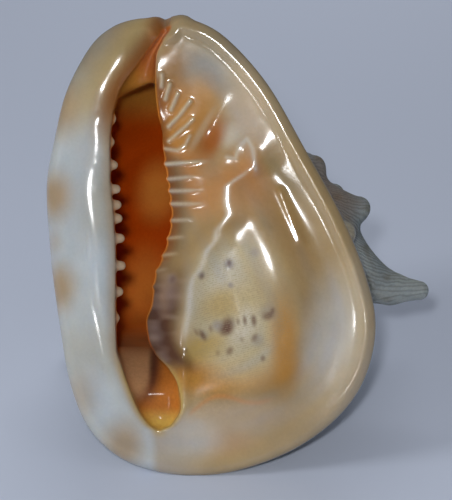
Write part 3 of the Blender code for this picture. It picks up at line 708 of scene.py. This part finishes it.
def face_colour(x, y, z):
    """Colour of the glossy aperture side."""
    low = smoothstep(44, 18, z)
    middle = (curve(LIP_EDGE, z) + curve(COLUMELLA_EDGE, z)) / 2 * (1 - low) - 6 * low
    half_width = 3 + 15 * low
    lip = smoothstep(1, -1, (x - middle) / half_width)
    colour = np.tile(np.array(CREAM), (len(x), 1))
    cloud = value_noise(x, y, z, 22, 1)
    fleck = value_noise(x, y, z, 7, 2)
    colour = patches(x, z, colour, UPPER_PATCHES)
    colour = ridge_paleness_and_painted_highlight(x, z, lower_shield(x, z, colour))
    colour = blend(colour, RIM_SHADE, 0.35 * smoothstep(2.2, 0.2, -RIM_MAP(x, z)))
    colour = beside_aperture(x, z, colour, fleck)
    colour = colour + (lip_paint(x, z, cloud) - colour) * lip[:, None]
    gutter = smoothstep(4, -1, SLOT_MAP(x, z)) * smoothstep(62, 46, z)
    colour = blend(colour, YELLOW, 0.9 * gutter)
    streak = value_noise(3.2 * RIM_MAP(x, z), 0 * x, 0.45 * (z - x), 14, 7)
    warmth = np.stack([0.03 * streak, -0.02 * streak, -0.16 * streak], 1) * (1 - 0.7 * lip)[:, None]
    return colour * (1 + (0.06 * cloud + 0.04 * fleck + 0.04 * streak)[:, None] + warmth)


def whorl_colour(x, y, z):
    """Colour of the dorsal side: grey, weathered, with paler knobs and rusty patches."""
    height, distance, angle = coil_coordinates(x, y, z)
    cloud = value_noise(x, y, z, 16, 3)
    fine = value_noise(x, y, z, 5, 4)
    colour = np.tile(np.array(WHORL_GREY), (len(x), 1))
    band = 0.5 + 0.5 * np.sin(height / 3.1 + 1.5 * cloud)
    colour = blend(colour, WHORL_PALE, np.clip(0.25 + 0.5 * cloud + 0.25 * band, 0, 0.9))
    colour = blend(colour, WHORL_OLIVE, np.clip(0.9 * fine - 0.1, 0, 0.6))
    rust = value_noise(x, y, z, 26, 5)
    colour = blend(colour, WHORL_RUST, np.clip(1.6 * rust - 0.7, 0, 0.7))
    on_tip = smoothstep(1.12, 1.36, distance / shoulder_radius(angle, 0))
    return blend(colour, HORN_TIP, 0.75 * on_tip)


def inside_colour(x, y, z):
    # painted shade: the hollow's orange darkens deeper in; painted light: a lit copy near the mouth and in
    # two patches where light enters
    colour = np.tile(np.array(INSIDE_ORANGE_PAINTED_SHADE), (len(x), 1))
    colour = blend(colour, INSIDE_ORANGE_PAINTED_LIGHT, 0.8 * smoothstep(20, 4, y) * smoothstep(60, 80, z))
    colour = blend(colour, INSIDE_ORANGE_PAINTED_LIGHT, 0.9 * spot(x, z, (-24, 138), 9, 1.5, 1.5, 80))
    colour = blend(colour, CANAL_LIGHT, 0.95 * smoothstep(168, 186, z))
    colour = blend(colour, CANAL_DEEP, 0.9 * smoothstep(182, 198, z) * smoothstep(-34, -24, x))
    colour = blend(colour, INSIDE_ORANGE_PAINTED_LIGHT, 0.65 * spot(x, z, (-31, 84), 12, 1.5, 1.6, 90))
    low = smoothstep(GUTTER_TOP + 6, GUTTER_TOP - 8, z)
    colour = blend(colour, GUTTER_ORANGE, 0.9 * low)
    colour = blend(colour, GUTTER_BROWN, 0.95 * spot(x, z, (-30.5, 57), 11.5, 0.5, 2.0, 95) * low)
    colour = blend(colour, TONGUE_BROWN, 0.9 * spot(x, z, (-32, 62), 8.2, 0.4, 2.9, 95) * low)
    colour = blend(colour, CALLUS_PURPLE, 0.7 * spot(x, z, (-23.3, 56), 1.7, 1.5, 6.5, 92) * low)
    colour = blend(colour, GUTTER_YELLOW, 0.85 * smoothstep(34, 25, z))
    return colour * (1 + 0.14 * value_noise(x, y, z, 11, 6))[:, None]


def add_attribute(mesh, name, values):
    kind = "FLOAT" if values.ndim == 1 else "FLOAT_COLOR"
    made = mesh.attributes.new(name, kind, "POINT")
    if values.ndim == 1:
        made.data.foreach_set("value", values.astype(np.float32))
    else:
        rgba = np.concatenate([np.clip(values, 0, 1), np.ones((len(values), 1))], 1)
        made.data.foreach_set("color", rgba.astype(np.float32).ravel())


def paint(mesh, points):
    x, y, z = points.T
    hollow = main_chamber(x, y, z)
    canal = tube(x, y, z, SPOUT[:-1] + (SPOUT_BORE_END,), SPOUT_BORE)
    inside = smoothstep(1.2, 0.1, np.minimum(hollow, canal)) * smoothstep(-2.5, 4, y)
    rim = RIM_MAP(x, z)
    face = smoothstep(13, 8, y) * smoothstep(6, -1, rim)
    window = over_window(x, z) * face * (1 - inside)
    colour = whorl_colour(x, y, z)
    back_of_plate = smoothstep(26, 12, y) * smoothstep(-26, -6, rim)
    colour = blend(colour, LIP_CREAM, 0.8 * back_of_plate)
    colour = blend(colour, face_colour(x, y, z), face)
    colour = blend(colour, inside_colour(x, y, z), inside)
    teeth = smoothstep(0.6, -0.2, lip_teeth(x, y, z, np.full(x.shape, 50.0))) * smoothstep(14, 6, y)
    colour = blend(colour, PALE_CREAM, 0.85 * teeth)
    add_attribute(mesh, "skin", colour)
    gutter = smoothstep(GUTTER_TOP, GUTTER_TOP - 12, z)
    gloss = np.maximum(face * (1 - inside), 0.45 * inside * (1 - 0.8 * gutter)) + 0.6 * back_of_plate
    duller = 0.9 * spot(x, z, (6, 46), 12, 1.2, 1.5) + 0.9 * spot(x, z, (18, 83), 12, 0.8)
    gloss = np.clip(gloss, 0, 1) * (1 - duller * face)
    add_attribute(mesh, "gloss", gloss)
    add_attribute(mesh, "weathered", np.clip(1 - face - 0.6 * back_of_plate, 0, 1) * (1 - inside))
    add_attribute(mesh, "window", window)
    height, distance, angle = coil_coordinates(x, y, z)
    place = mesh.attributes.new("own_place", "FLOAT_VECTOR", "POINT")
    place.data.foreach_set("vector", (0.1 * points).astype(np.float32).ravel())
    coil = np.stack([0.1 * height, ROUND_SCALE * angle, np.zeros_like(distance)], 1)
    coiled = mesh.attributes.new("coil_place", "FLOAT_VECTOR", "POINT")
    coiled.data.foreach_set("vector", coil.astype(np.float32).ravel())


# ---- material ----------------------------------------------------------------------------------
class Nodes:
    """Short hand for building a node tree."""

    def __init__(self, material):
        material.use_nodes = True
        self.tree = material.node_tree
        self.surface = self.tree.nodes["Principled BSDF"]

    def new(self, kind, inputs=(), **settings):
        node = self.tree.nodes.new(kind)
        for key, value in settings.items():
            setattr(node, key, value)
        for key, value in dict(inputs).items():
            self.feed(node.inputs[key], value)
        return node

    def feed(self, socket, value):
        if isinstance(value, bpy.types.NodeSocket):
            self.tree.links.new(value, socket)
        else:
            socket.default_value = value

    def attribute(self, name, output="Fac"):
        return self.new("ShaderNodeAttribute", attribute_name=name).outputs[output]

    def maths(self, operation, a, b=0.0):
        return self.new("ShaderNodeMath", {0: a, 1: b}, operation=operation).outputs[0]

    def spread(self, value, low, high, to_low, to_high):
        inputs = {"Value": value, "From Min": low, "From Max": high, "To Min": to_low, "To Max": to_high}
        return self.new("ShaderNodeMapRange", inputs).outputs[0]

    def noise(self, vector, scale, detail=3.0):
        inputs = {"Vector": vector, "Scale": scale, "Detail": detail}
        return self.new("ShaderNodeTexNoise", inputs).outputs["Fac"]

    def mix(self, factor, a, b, mode="MIX"):
        node = self.new("ShaderNodeMix", data_type="RGBA", blend_type=mode)
        for socket, value in zip((node.inputs[0], node.inputs[6], node.inputs[7]), (factor, a, b)):
            self.feed(socket, value)
        return node.outputs[2]


def shell_material():
    material = bpy.data.materials.new("grown_shell")
    n = Nodes(material)
    place = n.attribute("own_place", "Vector")
    coil = n.attribute("coil_place", "Vector")
    gloss, window = n.attribute("gloss"), n.attribute("window")
    skin = n.attribute("skin", "Color")

    cloud = n.noise(place, 1.1, 4)
    fleck = n.noise(place, 7.0, 5)
    colour = n.mix(n.spread(cloud, 0.3, 0.7, 0.0, 0.22), skin, (0.78, 0.66, 0.50, 1), "SOFT_LIGHT")
    shade = n.spread(fleck, 0.3, 0.7, 0.38, 0.62)
    flecks = n.new("ShaderNodeCombineColor", {0: shade, 1: shade, 2: shade}).outputs[0]
    colour = n.mix(n.spread(gloss, 0.0, 1.0, 0.4, 0.1), colour, flecks, "OVERLAY")

    # fine reticulation of the old whorl under the thin glaze
    threads = {"Vector": coil, "Scale": 3.1, "Distortion": 0.8, "Detail": 2.0, "Detail Scale": 1.5}
    rings = n.new("ShaderNodeTexWave", threads, wave_type="BANDS", bands_direction="X").outputs["Fac"]
    dots = n.noise(place, 12.0, 1)
    net = n.maths("MULTIPLY", n.spread(rings, 0.2, 0.9, 0.0, 1.0), n.spread(dots, 0.4, 0.65, 0.0, 1.0))
    net = n.maths("MULTIPLY", net, n.maths("MULTIPLY", window, 0.55))
    colour = n.mix(net, colour, (0.36, 0.27, 0.15, 1))

    # growth striae on the weathered dorsal side
    dull = n.attribute("weathered")
    growth = {"Vector": coil, "Scale": 2.6, "Distortion": 4.0, "Detail": 3.0, "Detail Scale": 1.2}
    striae = n.new("ShaderNodeTexWave", growth, wave_type="BANDS", bands_direction="DIAGONAL").outputs["Fac"]
    dark = n.maths("MULTIPLY", n.spread(striae, 0.4, 0.95, 0.0, 0.3), dull)
    colour = n.mix(dark, colour, (0.09, 0.08, 0.06, 1))
    n.feed(n.surface.inputs["Base Color"], colour)

    rough = n.spread(gloss, 0.0, 1.0, 0.62, 0.34)
    rough = n.maths("ADD", rough, n.spread(fleck, 0.3, 0.7, -0.03, 0.05))
    n.feed(n.surface.inputs["Roughness"], rough)
    n.surface.inputs["IOR"].default_value = 1.55
    n.surface.inputs["Subsurface Weight"].default_value = 0.12
    n.surface.inputs["Subsurface Radius"].default_value = (0.004, 0.002, 0.001)
    n.surface.inputs["Specular IOR Level"].default_value = 0.05
    n.surface.inputs["Coat Roughness"].default_value = 0.15
    n.feed(n.surface.inputs["Coat Weight"], gloss)

    pits = n.noise(place, 24.0, 4)
    rough_height = n.maths("MULTIPLY", n.maths("ADD", n.maths("MULTIPLY", striae, 0.5), pits), dull)
    slow = n.maths("ADD", n.maths("MULTIPLY", n.noise(place, 1.6, 1), 0.7),
                   n.maths("MULTIPLY", n.noise(place, 5.0, 1), 0.16))
    height = n.maths("ADD", rough_height, n.maths("MULTIPLY", slow, gloss))
    bump = n.new("ShaderNodeBump", {"Height": height, "Strength": 0.5, "Distance": 0.0012})
    n.feed(n.surface.inputs["Normal"], bump.outputs[0])
    return material


# ---- the piece ---------------------------------------------------------------------------------
def new_object(name, data):
    item = bpy.data.objects.new(name, data)
    bpy.context.scene.collection.objects.link(item)
    return item


def lean_and_scale():
    lean = Matrix.Rotation(-math.radians(LEAN_BACK), 4, "X")
    return lean @ Matrix.Rotation(math.radians(ROLL), 4, "Y") @ Matrix.Scale(0.001, 4)


def standing_offset(world):
    """What moves the leaning shell onto the frame's node."""
    low, high = world.min(0), world.max(0)
    middle = (low + high) / 2
    node_low, node_high = (np.array(corner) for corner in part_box("helmet_shell"))
    offset = (node_low + node_high) / 2 - middle
    offset[2] = node_high[2] - high[2]
    return offset


def build_shell():
    points, quads = surface_mesh(FINE_STEP)
    turn = np.array(lean_and_scale())
    world = points @ turn[:3, :3].T
    offset = standing_offset(world)
    world = world + offset
    world[:, 2] = np.maximum(world[:, 2], 0.0)
    mesh = bpy.data.meshes.new("helmet_shell_grown")
    mesh.from_pydata(world.tolist(), [], quads.tolist())
    mesh.update()
    mesh.shade_smooth()
    paint(mesh, points)
    mesh.materials.append(shell_material())
    shell = new_object("helmet_shell_grown", mesh)
    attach(shell, "root")
    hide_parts("helmet_shell")
    return offset


# ---- stage -------------------------------------------------------------------------------------
FLOOR_HALF = 2.5
# name, place, size, power, whether it makes the glints; the others only light the colours
LIGHTS = (("flash", (-0.045, -0.80, 0.525), 0.045, 3.2, False),
          ("glint", (-0.045, -0.775, 0.58), 0.06, 6.0, True),
          ("side_glint", (-0.367, -0.90, 0.307), 0.08, 1.0, True),
          ("key", (-1.0, -0.30, 0.60), 0.35, 4.2, False),
          ("fill", (0.7, -0.5, 0.8), 0.6, 0.5, False),
          ("back_fill", (0.1, 1.0, 0.9), 0.9, 5.0, False))


def aimed(item, at, target):
    item.location = at
    item.rotation_euler = (Vector(target) - Vector(at)).to_track_quat("-Z", "Y").to_euler()
    return item


def area_light(name, at, target, size, power):
    lamp = bpy.data.lights.new(name, "AREA")
    lamp.size, lamp.energy = size, power
    return aimed(new_object(name, lamp), at, target)


def build_stage():
    floor = bpy.data.meshes.new("floor")
    near, far = -FLOOR_HALF, FLOOR_HALF
    corners = [(near, near, 0), (far, near, 0), (far, far, 0), (near, far, 0)]
    floor.from_pydata(corners, [], [(0, 1, 2, 3)])
    material = bpy.data.materials.new("pale_floor")
    material.use_nodes = True
    surface = material.node_tree.nodes["Principled BSDF"]
    surface.inputs["Base Color"].default_value = (0.62, 0.68, 0.82, 1)
    surface.inputs["Roughness"].default_value = 0.85
    floor.materials.append(material)
    new_object("floor", floor)
    world = bpy.data.worlds.new("soft_surroundings")
    world.use_nodes = True
    background = world.node_tree.nodes["Background"]
    background.inputs["Color"].default_value = (0.74, 0.80, 0.92, 1)
    background.inputs["Strength"].default_value = 0.11
    bpy.context.scene.world = world
    bpy.context.scene.view_settings.view_transform = "Standard"
    for name, at, size, power, makes_glints in LIGHTS:
        lamp = area_light(name, at, (0.0, 0.0, 0.1), size, power)
        lamp.visible_glossy, lamp.visible_diffuse = makes_glints, not makes_glints


def build_camera(offset):
    pitch = math.radians(LEAN_BACK + 1.0)
    aim = np.array(lean_and_scale())[:3, :3] @ np.array(VIEW_CENTRE) + offset
    away = np.array((0.0, -math.cos(pitch), math.sin(pitch)))
    lens = bpy.data.cameras.new("camera")
    lens.sensor_width = 36.0
    lens.sensor_fit = "VERTICAL"
    lens.sensor_height = 36.0
    lens.lens = lens.sensor_height * VIEW_DISTANCE / VIEW_HEIGHT
    lens.clip_start = 0.01
    camera = new_object("camera", lens)
    camera.location = aim + VIEW_DISTANCE * away
    camera.rotation_euler = (-Vector(away)).to_track_quat("-Z", "Y").to_euler()
    bpy.context.scene.camera = camera


FINE_STEP = 0.8
VIEW_CENTRE = (12.5, 0.0, 108.5)   # point of the shell at the middle of the view
VIEW_DISTANCE = 0.85
VIEW_HEIGHT = 0.238                # metres seen from top to bottom at the shield

offset = build_shell()
build_stage()
build_camera(offset)
